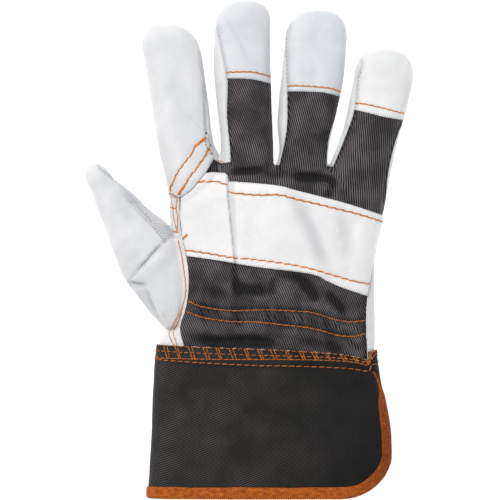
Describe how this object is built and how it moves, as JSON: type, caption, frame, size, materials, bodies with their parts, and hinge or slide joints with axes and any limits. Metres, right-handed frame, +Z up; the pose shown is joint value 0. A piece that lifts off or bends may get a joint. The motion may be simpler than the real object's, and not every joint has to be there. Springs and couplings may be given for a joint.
{
  "type": "leather palm work glove",
  "caption": "Right-hand work glove with leather palm, thumb and fingertips, a twill back under a leather knuckle strap, and a wide twill safety cuff bound in tape.",
  "frame": {"origin": "middle of the glove's outline on the surface that it lies on", "axes": "+Z up from that surface, +Y from the cuff to the fingertips, -X towards the thumb"},
  "size_m": [0.1766, 0.27, 0.0324],
  "materials": {
    "grain_leather": "matt pale grain leather",
    "back_twill": "charcoal cotton twill with a steep diagonal rib",
    "cuff_twill": "dark stiffened fine twill",
    "rust_tape": "rust-orange ribbed binding tape",
    "orange_thread": "orange sewing thread"
  },
  "bodies": {
    "root": {"palm_leather": "grain_leather", "index_back": "grain_leather", "tip_middle": "grain_leather", "tip_ring": "grain_leather", "tip_little": "grain_leather", "side_welt": "grain_leather", "thumb_back": "grain_leather", "thumb_front": "grain_leather", "fourchette_index_middle": "grain_leather", "fourchette_middle_ring": "grain_leather", "fourchette_ring_little": "grain_leather", "knuckle_strap": "grain_leather", "index_patch": "grain_leather", "back_cloth": "back_twill", "cuff": "cuff_twill", "cuff_binding": "rust_tape"}
  },
  "joints": []
}
